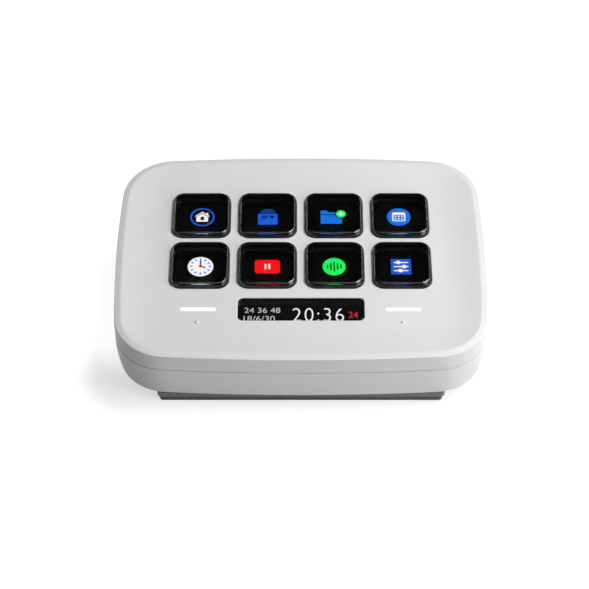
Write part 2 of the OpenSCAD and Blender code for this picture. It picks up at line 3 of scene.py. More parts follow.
import bmesh
import bpy
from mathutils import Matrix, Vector
from mathutils.geometry import delaunay_2d_cdt


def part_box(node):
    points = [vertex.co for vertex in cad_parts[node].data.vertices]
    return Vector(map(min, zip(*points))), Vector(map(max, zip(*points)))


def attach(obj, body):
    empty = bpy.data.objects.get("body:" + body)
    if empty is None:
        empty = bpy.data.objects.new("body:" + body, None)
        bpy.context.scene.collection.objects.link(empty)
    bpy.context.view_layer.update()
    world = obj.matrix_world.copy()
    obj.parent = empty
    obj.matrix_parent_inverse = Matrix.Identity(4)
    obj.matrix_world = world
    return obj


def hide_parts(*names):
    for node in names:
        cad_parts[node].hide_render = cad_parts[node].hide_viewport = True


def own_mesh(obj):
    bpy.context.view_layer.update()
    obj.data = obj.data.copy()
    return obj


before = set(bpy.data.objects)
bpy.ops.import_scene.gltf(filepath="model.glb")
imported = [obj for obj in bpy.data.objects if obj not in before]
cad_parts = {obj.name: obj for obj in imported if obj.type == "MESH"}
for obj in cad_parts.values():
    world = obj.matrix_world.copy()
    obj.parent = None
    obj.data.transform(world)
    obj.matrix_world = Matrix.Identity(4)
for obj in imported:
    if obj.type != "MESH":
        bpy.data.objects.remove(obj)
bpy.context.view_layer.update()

# --- Sizes of the keypad, in mm -----------------------------------------------------------------
# They are the solids' own, but for a few that were fitted to the photograph later: the bow and
# bulge of the sides, the rim's edge, the gap round a key, the seam's depth and the dots.
MM = 0.001
TILT = math.radians(4.5)
HALF_W, HALF_D, HEIGHT = 53.5, 39.1, 26.0
CORNER_R, SIDE_BOW_R, END_BOW_R = 15.3, 380.0, 635.0
FRONT_SIDE_BOW_R = 480.0
RIM_W, RIM_FALL, RIM_EDGE_W, RIM_EDGE_H = 1.8, 0.66, 0.25, 0.3
DISH_W, DISH_DEPTH, DISH_POWER = 11.0, 1.0, 1.8
WALL, DRAFT, SIDE_BULGE = 2.0, 0.07, 0.6
UPPER_WALL_H, SEAM_W, LIP_H, LIP_T, LIP_CLEAR = 5.7, 0.3, 1.5, 0.9, 0.1
SEAM_DEPTH = 0.55
BOTTOM_EDGE_R, FLOOR_Z = 0.3, 3.9
PLATE_T = 1.2
KEY_PITCH, KEY_BLOCK_Y, KEY_W, KEY_R = 19.45, 5.98, 17.05, 3.3
KEY_STAND, KEY_GAP, SKIRT_T = 1.6, 0.07, 1.0
SHOULDER_W, SHOULDER_H, LENS_SEAT_H = 1.3, 0.95, 0.4
FLANGE_LIP, FLANGE_T, STOP_GAP = 0.7, 0.6, 0.05
KEY_TRAVEL, COLLAR_SOLID_H, CONTACT_T = 1.0, 0.4, 0.4
STRIP_Y, STRIP_W, STRIP_D, STRIP_R = -19.97, 36.1, 8.45, 1.6
PANE_RECESS, PANE_FLANGE_T, PANE_CLEAR = 0.15, 0.8, 0.06
TOUCH_X, BAR_L, BAR_W, BAR_CLEAR = 29.15, 10.3, 1.5, 0.05
DOT_R, DOT_H, DOT_DROP, DOT_SHIFT = 0.6, 0.42, 4.95, -0.3
BASE_W, BASE_D, BASE_R, BASE_Z = 81.8, 73.8, 1.2, 2.2
PAD_INSET, PAD_R = 0.65, 1.0
USB_W, USB_H, USB_DEPTH, USB_CLEAR, USB_SHELL_T = 8.94, 3.16, 7.35, 0.35, 0.3

FACE_Z = HEIGHT - (HALF_D - RIM_W) * math.sin(TILT)
FACE_N = -DISH_DEPTH
PLATE_N = FACE_N - PLATE_T
RIM_EDGE_N = -RIM_FALL
KEY_BASE_N = PLATE_N - STOP_GAP - FLANGE_T
LENS_SEAT_N = FACE_N + LENS_SEAT_H
CONTACT_N = KEY_BASE_N - (KEY_TRAVEL + COLLAR_SOLID_H)
LCD_N = CONTACT_N - CONTACT_T
PANE_TOP_N = FACE_N - PANE_RECESS
PANE_BASE_N = PLATE_N - PANE_FLANGE_T
KEYS = range(1, 9)


def on_face(u, v, n):
    """A point of the tilted face, in mm, as a point of the frame, in metres."""
    return Vector((u, v * math.cos(TILT) - n * math.sin(TILT),
                   FACE_Z + v * math.sin(TILT) + n * math.cos(TILT))) * MM


def upright(x, y, z):
    """A point of the frame, in mm, in metres."""
    return Vector((x, y, z)) * MM


def key_centre(k):
    """Middle of a key on the face. Key 1 is at the back left, key 8 at the front right."""
    column, row = (k - 1) % 4, (k - 1) // 4
    return (column - 1.5) * KEY_PITCH, KEY_BLOCK_Y + (0.5 - row) * KEY_PITCH


# --- Camera -------------------------------------------------------------------------------------
CAMERA_ELEVATION = math.radians(45.089)
CAMERA_DISTANCE = 601.7
CAMERA_AIM = Vector((-1.847, -16.531, 23.05))
CAMERA_LENS = 129.4


def make_camera():
    data = bpy.data.cameras.new("camera")
    data.lens = CAMERA_LENS
    data.sensor_width = 36
    data.clip_start, data.clip_end = 0.01, 20
    cam = bpy.data.objects.new("camera", data)
    back = Vector((0, -math.cos(CAMERA_ELEVATION), math.sin(CAMERA_ELEVATION)))
    cam.location = (CAMERA_AIM + back * CAMERA_DISTANCE) * MM
    cam.rotation_euler = (math.pi / 2 - CAMERA_ELEVATION, 0, 0)
    bpy.context.scene.collection.objects.link(cam)
    bpy.context.scene.camera = cam


# --- Materials ----------------------------------------------------------------------------------
MOTTLE_SIZE, SMEAR_SIZE = 9, 3  # in mm
# the darker line between pixels: its share of their pitch, and of their brightness
PIXEL_GAP, PIXEL_GAP_LEVEL = 0.08, 0.8


def node_adder(tree):
    """A short way to add a node to a tree, with its inputs set."""
    def add(kind, **inputs):
        node = tree.nodes.new(kind)
        for key, value in inputs.items():
            node.inputs[key].default_value = value
        return node

    return add


def shader_tools(name):
    """A new material, its Principled shader, and short ways to add and join its nodes."""
    mat = bpy.data.materials.new(name)
    mat.use_nodes = True
    tree = mat.node_tree
    return mat, tree.nodes["Principled BSDF"], node_adder(tree), tree.links.new


def mapped(add, link, value, low, high, start=0.0, end=1.0):
    """A Map Range node that takes a value from start to end over to low to high."""
    node = add("ShaderNodeMapRange")
    for key, number in (("From Min", start), ("From Max", end), ("To Min", low),
                        ("To Max", high)):
        node.inputs[key].default_value = number
    link(value, node.inputs["Value"])
    return node


def combined(add, link, operation, first, second):
    """The result of a Math node on two outputs, the second of which may be a number."""
    node = add("ShaderNodeMath")
    node.operation = operation
    link(first, node.inputs[0])
    if isinstance(second, float):
        node.inputs[1].default_value = second
    else:
        link(second, node.inputs[1])
    return node.outputs[0]


def grained(name, colour, rough, grain=0.25, depth=0.01, mottle=0.02, rough_span=0.06,
            metal=0.0, stretch=(1, 1, 1), **sockets):
    """Moulded or rolled stock: fine grain in the bump, soft mottling in colour and gloss.
    grain and depth are in mm. stretch draws the grain out along an axis."""
    mat, bsdf, add, link = shader_tools(name)
    place = add("ShaderNodeTexCoord")
    drawn = add("ShaderNodeMapping", Scale=stretch)
    link(place.outputs["Object"], drawn.inputs["Vector"])
    fine = add("ShaderNodeTexNoise", Scale=1 / (grain * MM), Detail=3.0, Roughness=0.6)
    link(drawn.outputs["Vector"], fine.inputs["Vector"])
    broad = add("ShaderNodeTexNoise", Scale=1 / (MOTTLE_SIZE * MM), Detail=2.0)
    link(place.outputs["Object"], broad.inputs["Vector"])
    tint = add("ShaderNodeMix")
    tint.data_type = "RGBA"
    tint.inputs["A"].default_value = (*[c * (1 - mottle) for c in colour], 1)
    tint.inputs["B"].default_value = (*[min(1, c * (1 + mottle)) for c in colour], 1)
    link(broad.outputs["Fac"], tint.inputs["Factor"])
    link(tint.outputs["Result"], bsdf.inputs["Base Color"])
    gloss = mapped(add, link, fine.outputs["Fac"], max(0.02, rough - rough_span),
                   min(1, rough + rough_span))
    link(gloss.outputs["Result"], bsdf.inputs["Roughness"])
    bump = add("ShaderNodeBump", Strength=1.0, Distance=depth * MM)
    link(fine.outputs["Fac"], bump.inputs["Height"])
    link(bump.outputs["Normal"], bsdf.inputs["Normal"])
    bsdf.inputs["Metallic"].default_value = metal
    for key, value in sockets.items():
        bsdf.inputs[key.replace("_", " ")].default_value = value
    return mat


def clear(name, colour, ior=1.49, haze=0.02):
    """Clear moulded plastic with the faint haze of a handled lens."""
    mat, bsdf, add, link = shader_tools(name)
    place = add("ShaderNodeTexCoord")
    smear = add("ShaderNodeTexNoise", Scale=1 / (SMEAR_SIZE * MM), Detail=4.0)
    link(place.outputs["Object"], smear.inputs["Vector"])
    gloss = mapped(add, link, smear.outputs["Fac"], 0.0, haze)
    link(gloss.outputs["Result"], bsdf.inputs["Roughness"])
    bsdf.inputs["Base Color"].default_value = (*colour, 1)
    bsdf.inputs["Transmission Weight"].default_value = 1.0
    bsdf.inputs["IOR"].default_value = ior
    return mat


def lit(name, colour, strength=1.0, pixel=0.0):
    """A lit area of a display. pixel is the pitch of its pixels, in mm."""
    mat, bsdf, add, link = shader_tools(name)
    bsdf.inputs["Base Color"].default_value = (0.004, 0.004, 0.005, 1)
    bsdf.inputs["Roughness"].default_value = 0.08
    bsdf.inputs["Emission Color"].default_value = (*colour, 1)
    bsdf.inputs["Emission Strength"].default_value = strength
    if pixel:
        place = add("ShaderNodeTexCoord")
        grid = add("ShaderNodeTexBrick", Scale=1.0)
        grid.offset = 0.0
        grid.inputs["Color1"].default_value = (*colour, 1)
        grid.inputs["Color2"].default_value = (*colour, 1)
        grid.inputs["Mortar"].default_value = (*[c * PIXEL_GAP_LEVEL for c in colour], 1)
        grid.inputs["Mortar Size"].default_value = pixel * MM * PIXEL_GAP
        grid.inputs["Brick Width"].default_value = pixel * MM
        grid.inputs["Row Height"].default_value = pixel * MM
        link(place.outputs["Object"], grid.inputs["Vector"])
        link(grid.outputs["Color"], bsdf.inputs["Emission Color"])
    return mat


# --- Mesh tools ---------------------------------------------------------------------------------
MIN_R = 0.01  # least radius of a corner, in mm


def new_object(name, bm):
    """An object in the scene, with bm as its mesh."""
    mesh = bpy.data.meshes.new(name)
    bm.to_mesh(mesh)
    bm.free()
    thing = bpy.data.objects.new(name, mesh)
    bpy.context.scene.collection.objects.link(thing)
    return thing


def shade(mesh, sharp):
    """Smooth shading, but for edges sharper than an angle in degrees."""
    mesh.shade_smooth()
    mesh.set_sharp_from_angle(angle=math.radians(sharp))


def finish_piece(name, bm, mat, body, replaces=(), sharp=35):
    """Makes a piece from bm: smooth but for its sharp edges, and riding on its body."""
    bmesh.ops.recalc_face_normals(bm, faces=bm.faces)
    piece = new_object(name, bm)
    shade(piece.data, sharp)
    piece.data.materials.append(mat)
    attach(piece, body)
    if replaces:
        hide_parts(*replaces)
    return piece


def add_rings(bm, rings, wrap=False):
    """Skins rings of equal length, and returns their vertices."""
    rows = [[bm.verts.new(p) for p in ring] for ring in rings]
    pairs = list(zip(rows, rows[1:] + rows[:1])) if wrap else list(zip(rows, rows[1:]))
    for a, b in pairs:
        for i in range(len(a)):
            j = (i + 1) % len(a)
            bm.faces.new((a[i], a[j], b[j], b[i]))
    return rows


def add_stack(bm, rings):
    """A closed solid: rings skinned one after the other, with both ends capped."""
    rows = add_rings(bm, rings)
    bm.faces.new(rows[0])
    bm.faces.new(rows[-1])


def circle(x, y, r, count):
    """Points round a circle, counter-clockwise."""
    turns = [2 * math.pi * i / count for i in range(count)]
    return [(x + r * math.cos(a), y + r * math.sin(a)) for a in turns]


def rect_points(w, d, r, steps=8):
    """A rounded rectangle round the origin, counter-clockwise."""
    points = []
    for quarter in range(4):
        cx = (w / 2 - r) * (1 if quarter in (0, 3) else -1)
        cy = (d / 2 - r) * (1 if quarter in (0, 1) else -1)
        for i in range(steps + 1):
            a = math.radians(90 * (quarter + i / steps))
            points.append((cx + r * math.cos(a), cy + r * math.sin(a)))
    return points


def rect_ring(place, centre, w, d, r, n, grow=0.0, steps=8):
    """A rounded rectangle at height n, grown outwards by grow."""
    r = max(r + grow, MIN_R)
    return [place(centre[0] + x, centre[1] + y, n)
            for x, y in rect_points(w + 2 * grow, d + 2 * grow, r, steps)]


def quarter_round(r, steps=6, h=None):
    """(inset, fall) pairs over an edge of width r and height h, from the flat to the upright."""
    turns = [math.radians(90 * i / steps) for i in range(steps + 1)]
    return [(r * (1 - math.sin(a)), (h or r) * (1 - math.cos(a))) for a in turns]


def slab_rings(place, centre, w, d, r, top, bottom, top_r, bottom_r=0.0, steps=8):
    """The rings of a rounded slab with rounded edges, from the top down."""
    support = 0.15
    rings = [(-top_r - support, top)]
    rings += [(-inset, top - fall) for inset, fall in quarter_round(top_r)]
    if bottom_r:
        rings += [(-inset, bottom + fall) for inset, fall in reversed(quarter_round(bottom_r))]
        rings.append((-bottom_r - support, bottom))
    else:
        rings.append((0, bottom))
    return [rect_ring(place, centre, w, d, r, n, grow, steps) for grow, n in rings]


def inside(point, polygon):
    """Whether a point lies in a polygon: a ray from it crosses an odd number of edges."""
    x, y = point
    hit = False
    for (x0, y0), (x1, y1) in zip(polygon, polygon[1:] + polygon[:1]):
        if (y0 > y) != (y1 > y) and x < (x1 - x0) * (y - y0) / (y1 - y0) + x0:
            hit = not hit
    return hit


def fill_with_holes(bm, outer, holes):
    """Fills the flat area between loops of (vertex, (u, v)) pairs."""
    loops = [outer] + holes
    verts = [v for loop in loops for v, _ in loop]
    flat = [Vector(uv) for loop in loops for _, uv in loop]
    edges, start = [], 0
    for loop in loops:
        count = len(loop)
        edges += [(start + i, start + (i + 1) % count) for i in range(count)]
        start += count
    epsilon = 1e-7
    out, _, faces, origin, _, _ = delaunay_2d_cdt(flat, edges, [], 0, epsilon)
    hole_shapes = [[uv for _, uv in hole] for hole in holes]
    for face in faces:
        middle = sum((out[i] for i in face), Vector((0, 0))) / len(face)
        if any(inside(middle, shape) for shape in hole_shapes):
            continue
        if not inside(middle, [uv for _, uv in outer]):
            continue
        bm.faces.new([verts[origin[i][0]] for i in face])


# --- Outline of the housing ---------------------------------------------------------------------
def outline_quarter(side_bow, edge_steps=10, corner_steps=20):
    """Points from a side's middle to an end's middle as (centre, radius, angle), so that an
    inset only shortens the radius."""
    side_c = Vector((HALF_W - side_bow, 0))
    end_c = Vector((0, HALF_D - END_BOW_R))
    apart = (end_c - side_c).length
    r1, r2 = side_bow - CORNER_R, END_BOW_R - CORNER_R
    along = (r1 * r1 - r2 * r2 + apart * apart) / (2 * apart)
    across = math.sqrt(r1 * r1 - along * along)
    e = (end_c - side_c) / apart
    corner_c = side_c + along * e + across * Vector((-e.y, e.x))
    a1 = math.atan2(corner_c.y, corner_c.x - side_c.x)
    a2 = math.atan2(corner_c.y - end_c.y, corner_c.x)
    quarter = [(side_c, side_bow, a1 * i / edge_steps) for i in range(edge_steps)]
    quarter += [(corner_c, CORNER_R, a1 + (a2 - a1) * i / corner_steps)
                for i in range(corner_steps + 1)]
    quarter += [(end_c, END_BOW_R, a2 + (math.pi / 2 - a2) * i / edge_steps)
                for i in range(1, edge_steps + 1)]
    return quarter


def outline_arcs():
    """The whole outline. The sides' front halves are a little straighter than the back ones."""
    def half(quarter):
        return quarter + [(Vector((-c.x, c.y)), r, math.pi - a)
                          for c, r, a in reversed(quarter[1:-1])]

    back = half(outline_quarter(SIDE_BOW_R))
    front = half(outline_quarter(FRONT_SIDE_BOW_R))
    middle, r, _ = back[0]
    return (back + [(Vector((-middle.x, 0)), r, math.pi)]
            + [(Vector((c.x, -c.y)), r, -a) for c, r, a in reversed(front[1:])])


ARCS = outline_arcs()


def arc_point(arc, inset):
    """A point of the outline, moved inwards by an inset."""
    c, r, a = arc
    return c.x + (r - inset) * math.cos(a), c.y + (r - inset) * math.sin(a)


def rim_ring(inset, n):
    """A ring on the face, at an inset from the outline."""
    return [on_face(*arc_point(arc, inset), n) for arc in ARCS]


def rim_edge(u, v):
    """The point of the rim's lower edge over (u, v) of the face, in mm."""
    return on_face(u, v, RIM_EDGE_N) / MM


def wall_lean(angle, fall, wall_h):
    """Inward lean at a fall below the rim's edge. The front and back lean evenly. The sides
    stand upright at the top and bow inwards lower down."""
    t = min(max(fall / wall_h, 0), 1)
    side = abs(math.cos(angle))
    bulge = SIDE_BULGE * side * side * (3 - 2 * side) * 4 * t * (1 - t)
    return max(0, DRAFT * fall - bulge)


def wall_point(arc, inset, fall_of):
    """A point on the wall. fall_of gives its fall from the height of the rim's edge there."""
    edge_z = rim_edge(*arc_point(arc, 0)).z
    fall = fall_of(edge_z)
    p = rim_edge(*arc_point(arc, inset + wall_lean(arc[2], fall, edge_z - FLOOR_Z)))
    return p, fall, edge_z


def wall_ring(inset, fall):
    """A ring on the wall, at a fall below the rim's edge."""
    ring = []
    for arc in ARCS:
        p, _, _ = wall_point(arc, inset, lambda edge_z: fall)
        ring.append(upright(p.x, p.y, p.z - fall))
    return ring


def level_ring(inset, z):
    """A ring on the wall, at a height above the table."""
    ring = []
    for arc in ARCS:
        p, _, _ = wall_point(arc, inset, lambda edge_z: edge_z - z)
        ring.append(upright(p.x, p.y, z))
    return ring


def between_ring(share, top_fall, low_z):
    """A ring on the wall, at a share of the way from a fall below the rim to a level."""
    ring = []
    for arc in ARCS:
        p, fall, edge_z = wall_point(
            arc, 0, lambda edge_z: top_fall + share * (edge_z - top_fall - low_z))
        ring.append(upright(p.x, p.y, edge_z - fall))
    return ring


# --- Housing ------------------------------------------------------------------------------------
def rim_profile():
    """(inset, n) from the flat key area over the dish and the rim band to the wall."""
    plate_inset = RIM_W + DISH_W
    dish_steps, blend, blend_steps, edge_steps = 22, 0.55, 6, 8

    def dish_n(inset):
        return -DISH_DEPTH * (1 - ((plate_inset - inset) / DISH_W) ** DISH_POWER)

    profile = []
    for i in range(dish_steps):
        inset = plate_inset - (DISH_W - blend) * i / dish_steps
        profile.append((inset, dish_n(inset)))
    fall_rate = (RIM_FALL - RIM_EDGE_H) / (RIM_W - RIM_EDGE_W)
    start = (RIM_W + blend, dish_n(RIM_W + blend))
    end = (RIM_W - blend, -blend * fall_rate)
    for i in range(blend_steps + 1):
        t = i / blend_steps
        profile.append(tuple((1 - t) ** 2 * s + 2 * t * (1 - t) * m + t * t * e
                             for s, m, e in zip(start, (RIM_W, 0), end)))
    profile += [(inset, RIM_EDGE_H - RIM_FALL - fall)
                for inset, fall in quarter_round(RIM_EDGE_W, edge_steps, RIM_EDGE_H)]
    return profile


def windows():
    """(centre, width, depth, corner radius) of each window in the face."""
    found = [(key_centre(k), KEY_W + 2 * KEY_GAP, KEY_W + 2 * KEY_GAP, KEY_R + KEY_GAP)
             for k in KEYS]
    found.append(((0, STRIP_Y), STRIP_W, STRIP_D, STRIP_R))
    found += [((side * TOUCH_X, STRIP_Y), BAR_L, BAR_W, BAR_W / 2 - MIN_R) for side in (-1, 1)]
    return found


def top_shell(mat):
    """Upper housing: the rim, the dish and the wall with its rebate, and the plate's windows."""
    bm = bmesh.new()
    outer = [rim_ring(inset, n) for inset, n in rim_profile()]
    outer += [wall_ring(0, UPPER_WALL_H * t) for t in (0.15, 0.3, 0.45, 0.6, 0.75)]
    rebate = WALL - LIP_T - LIP_CLEAR
    seam_bevel = 0.05
    outer += [wall_ring(0, UPPER_WALL_H - SEAM_W - seam_bevel),
              wall_ring(seam_bevel, UPPER_WALL_H - SEAM_W),
              wall_ring(SEAM_DEPTH, UPPER_WALL_H - SEAM_W),
              wall_ring(SEAM_DEPTH, UPPER_WALL_H),
              wall_ring(rebate, UPPER_WALL_H),
              wall_ring(rebate, UPPER_WALL_H - LIP_H - LIP_CLEAR),
              wall_ring(WALL, UPPER_WALL_H - LIP_H - LIP_CLEAR),
              rim_ring(WALL, PLATE_N)]
    rows = add_rings(bm, outer)
    edge_r, support = 0.14, 0.16
    tops, bottoms = [], []
    for centre, w, d, r in windows():
        steps = 12 if w == d else 7  # the square windows of the keys have larger corners
        profile = [(edge_r + support, FACE_N)]
        profile += [(inset, FACE_N - fall) for inset, fall in quarter_round(edge_r, 4)]
        profile.append((0, PLATE_N))
        rings = add_rings(bm, [rect_ring(on_face, centre, w, d, r, n, grow, steps)
                               for grow, n in profile])
        for found, row, grow in ((tops, rings[0], profile[0][0]), (bottoms, rings[-1], 0)):
            flat = rect_points(w + 2 * grow, d + 2 * grow, max(r + grow, MIN_R), steps)
            found.append([(v, (centre[0] + x, centre[1] + y)) for v, (x, y) in zip(row, flat)])
    flat_edge = [arc_point(arc, RIM_W + DISH_W) for arc in ARCS]
    under_edge = [arc_point(arc, WALL) for arc in ARCS]
    fill_with_holes(bm, list(zip(rows[0], flat_edge)), tops)
    fill_with_holes(bm, list(zip(rows[-1], under_edge)), bottoms)
    finish_piece("top_shell_moulding", bm, mat, "housing", ["top_shell"],
                 sharp=40)


def touch_dots(mat):
    """Two low domes on the face that a finger finds by feel."""
    ball_r = (DOT_R ** 2 + DOT_H ** 2) / (2 * DOT_H)
    reach = math.asin(DOT_R / ball_r)
    points, steps, sink = 28, 8, 0.05
    bm = bmesh.new()
    for side in (-1, 1):
        centre = (side * TOUCH_X + DOT_SHIFT, STRIP_Y - DOT_DROP)
        profile = [(DOT_R, FACE_N - sink)]
        for i in range(steps):
            tip = reach * (1 - i / steps)
            profile.append((ball_r * math.sin(tip),
                            FACE_N + DOT_H - ball_r * (1 - math.cos(tip))))
        add_stack(bm, [[on_face(x, y, n) for x, y in circle(*centre, r, points)]
                       for r, n in profile])
    finish_piece("touch_dots", bm, mat, "housing", sharp=60)


def bottom_shell(mat):
    """Lower housing: the floor, the wall and the lip that stands in the upper housing."""
    bm = bmesh.new()
    bead, floor_lead, support = 0.08, 0.4, 0.3
    rings = [level_ring(WALL + floor_lead, FLOOR_Z + WALL),
             level_ring(WALL, FLOOR_Z + WALL),
             wall_ring(WALL, UPPER_WALL_H - LIP_H),
             wall_ring(WALL - LIP_T, UPPER_WALL_H - LIP_H),
             wall_ring(WALL - LIP_T, UPPER_WALL_H),
             wall_ring(bead, UPPER_WALL_H),
             wall_ring(0, UPPER_WALL_H + bead)]
    steps = 10
    rings += [between_ring(i / steps, UPPER_WALL_H + bead, FLOOR_Z + BOTTOM_EDGE_R)
              for i in range(1, steps)]
    rings += [level_ring(inset, FLOOR_Z + fall)
              for inset, fall in reversed(quarter_round(BOTTOM_EDGE_R, 8))]
    rings.append(level_ring(BOTTOM_EDGE_R + support, FLOOR_Z))
    add_stack(bm, rings)
    shell = finish_piece("bottom_shell_moulding", bm, mat, "housing",
                         ["bottom_shell"], sharp=40)
    cut_usb_mouth(shell)


def at_mouth(setback=0.0):
    """Places points round the mouth of the solids' inlet: x across, z up, and out from it."""
    low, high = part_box("usb_c_socket")
    mouth_y, mouth_z = high.y / MM, (low.z + high.z) / 2 / MM

    def place(x, z, out):
        return upright(x, mouth_y + setback + out, mouth_z + z)

    return place


def cut_usb_mouth(shell):
    """Cuts the inlet's hole, with a small chamfer at the outside, through the back wall."""
    setback, chamfer, end_flat = 0.6, 0.3, 0.02
    place = at_mouth(setback)
    bm = bmesh.new()
    w, h = USB_W + 2 * USB_CLEAR, USB_H + 2 * USB_CLEAR
    r = h / 2 - end_flat
    profile = [(0, -2 * WALL), (0, -chamfer), (2 * chamfer, chamfer)]
    add_stack(bm, [rect_ring(place, (0, 0), w, h, r, out, grow, 12) for grow, out in profile])
    bmesh.ops.recalc_face_normals(bm, faces=bm.faces)
    cutter = new_object("usb_mouth_cutter", bm)
    cut = shell.modifiers.new("usb_mouth", "BOOLEAN")
    cut.operation, cut.object, cut.solver = "DIFFERENCE", cutter, "EXACT"
    bpy.context.view_layer.update()
    result = bpy.data.meshes.new_from_object(
        shell.evaluated_get(bpy.context.evaluated_depsgraph_get()))
    shell.modifiers.clear()
    shell.data = result
    shade(result, sharp=40)
    bpy.data.objects.remove(cutter)


def base_plate(mat):
    """Upper layer of the foot."""
    top_r, bottom_r = 0.12, 0.25
    bm = bmesh.new()
    add_stack(bm, slab_rings(upright, (0, 0), BASE_W, BASE_D, BASE_R, FLOOR_Z, BASE_Z,
                             top_r, bottom_r, steps=14))
    finish_piece("base_plate_moulding", bm, mat, "housing", ["base_plate"])


def rubber_foot(mat):
    """Lower layer of the foot, which meets the table."""
    top_gap, top_r, bottom_r = 0.02, 0.1, 0.35
    bm = bmesh.new()
    add_stack(bm, slab_rings(upright, (0, 0), BASE_W - 2 * PAD_INSET, BASE_D - 2 * PAD_INSET,
                             PAD_R, BASE_Z - top_gap, 0, top_r, bottom_r, steps=14))
    finish_piece("rubber_foot_pad", bm, mat, "housing", ["rubber_foot"])


# --- Keys ---------------------------------------------------------------------------------------
SEAT_GAP = 0.02  # between a lens and the frame under it
BOSS_INSET = SKIRT_T + 0.05
KEY_STEPS = 14  # faces round each corner of a key


def key_lens(k, mat):
    """Clear lens: flat top, rounded shoulder, and a boss inside the black frame."""
    centre = key_centre(k)
    top, seat = FACE_N + KEY_STAND, LENS_SEAT_N + SEAT_GAP
    support, seat_bevel, boss_bevel = 0.12, 0.06, 0.05
    profile = [(-SHOULDER_W - support, top)]
    profile += [(-inset, top - fall) for inset, fall in quarter_round(SHOULDER_W, 12, SHOULDER_H)]
    profile += [(0, seat + seat_bevel), (-seat_bevel, seat), (-BOSS_INSET, seat),
                (-BOSS_INSET, KEY_BASE_N + boss_bevel), (-BOSS_INSET - boss_bevel, KEY_BASE_N)]
    bm = bmesh.new()
    add_stack(bm, [rect_ring(on_face, centre, KEY_W, KEY_W, KEY_R, n, grow, KEY_STEPS)
                   for grow, n in profile])
    finish_piece("key_lens_%d" % k, bm, mat, "key_%d" % k, ["key_cap_%d" % k],
                 sharp=30)


def key_lining(k, mat):
    """Black paint on the lens's seat and round its boss, which keeps them dark."""
    centre = key_centre(k)
    outer, skin = 0.12, 0.03
    under, over = LENS_SEAT_N + SEAT_GAP / 2, LENS_SEAT_N + SEAT_GAP + skin
    profile = [(outer, under), (outer, over), (BOSS_INSET + skin, over),
               (BOSS_INSET + skin, KEY_BASE_N), (BOSS_INSET - skin, KEY_BASE_N),
               (BOSS_INSET - skin, under)]
    bm = bmesh.new()
    rings = [rect_ring(on_face, centre, KEY_W, KEY_W, KEY_R, n, -inset, KEY_STEPS)
             for inset, n in profile]
    add_rings(bm, rings, wrap=True)
    finish_piece("key_lining_%d" % k, bm, mat, "key_%d" % k)


def collar(k, mat):
    """Silicone collar under a key: a foot, and a thin wall on it."""
    centre = key_centre(k)
    outer_play, view_play, step, slant, foot_gap, top_gap = 0.2, 0.3, 0.4, 0.1, 0.01, 0.02
    outer = KEY_W + 2 * FLANGE_LIP - outer_play
    view = KEY_W - 2 * SKIRT_T + view_play
    collar_h = KEY_BASE_N - CONTACT_N
    foot = CONTACT_N + collar_h / 4
    low, high = CONTACT_N + foot_gap, KEY_BASE_N - top_gap
    wall = [(0, low), (0, foot), (-step, foot + slant), (-step, high)]
    bm = bmesh.new()
    rings = [rect_ring(on_face, centre, outer, outer, KEY_R, n, grow, 8) for grow, n in wall]
    rings += [rect_ring(on_face, centre, view, view, KEY_R - SKIRT_T, n, 0, 8)
              for n in (high, low)]
    add_rings(bm, rings, wrap=True)
    piece = finish_piece("silicone_collar_%d" % k, bm, mat, "housing",
                         ["collar_%d" % k])
    on_face(centre[0], centre[1], CONTACT_N)
    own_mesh(piece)


# --- Strip display and touch bars ---------------------------------------------------------------
FLANGE_W, UNDER_PLATE_N = 1.0, PLATE_N - 0.02


def strip_pane(mat):
    """Smoked window of the strip display, held from below by its flange."""
    top_r, picture_gap = 0.12, 0.08
    w, d, r = STRIP_W - 2 * PANE_CLEAR, STRIP_D - 2 * PANE_CLEAR, STRIP_R - PANE_CLEAR
    bm = bmesh.new()
    centre = (0, STRIP_Y)
    rings = slab_rings(on_face, centre, w, d, r, PANE_TOP_N, UNDER_PLATE_N, top_r)
    rings += [rect_ring(on_face, centre, w, d, r, n, FLANGE_W + PANE_CLEAR)
              for n in (UNDER_PLATE_N, PANE_BASE_N + picture_gap)]
    add_stack(bm, rings)
    finish_piece("strip_window", bm, mat, "housing", ["strip_pane"])


def light_bar(side, mat):
    """Diffuser of a touch bar: side is -1 for the left one, 1 for the right one."""
    recess, top_r, flange_t = 0.05, 0.08, 0.76
    name = "left" if side < 0 else "right"
    bm = bmesh.new()
    centre = (side * TOUCH_X, STRIP_Y)
    rings = slab_rings(on_face, centre, BAR_L - 2 * BAR_CLEAR, BAR_W - 2 * BAR_CLEAR,
                       BAR_W / 2 - BAR_CLEAR - MIN_R, FACE_N - recess, UNDER_PLATE_N, top_r)
    rings += [rect_ring(on_face, centre, BAR_L, BAR_W, BAR_W / 2 - MIN_R, n, FLANGE_W)
              for n in (UNDER_PLATE_N, UNDER_PLATE_N - flange_t)]
    add_stack(bm, rings)
    finish_piece("touch_bar_" + name, bm, mat, "housing",
                 ["light_bar_" + name])


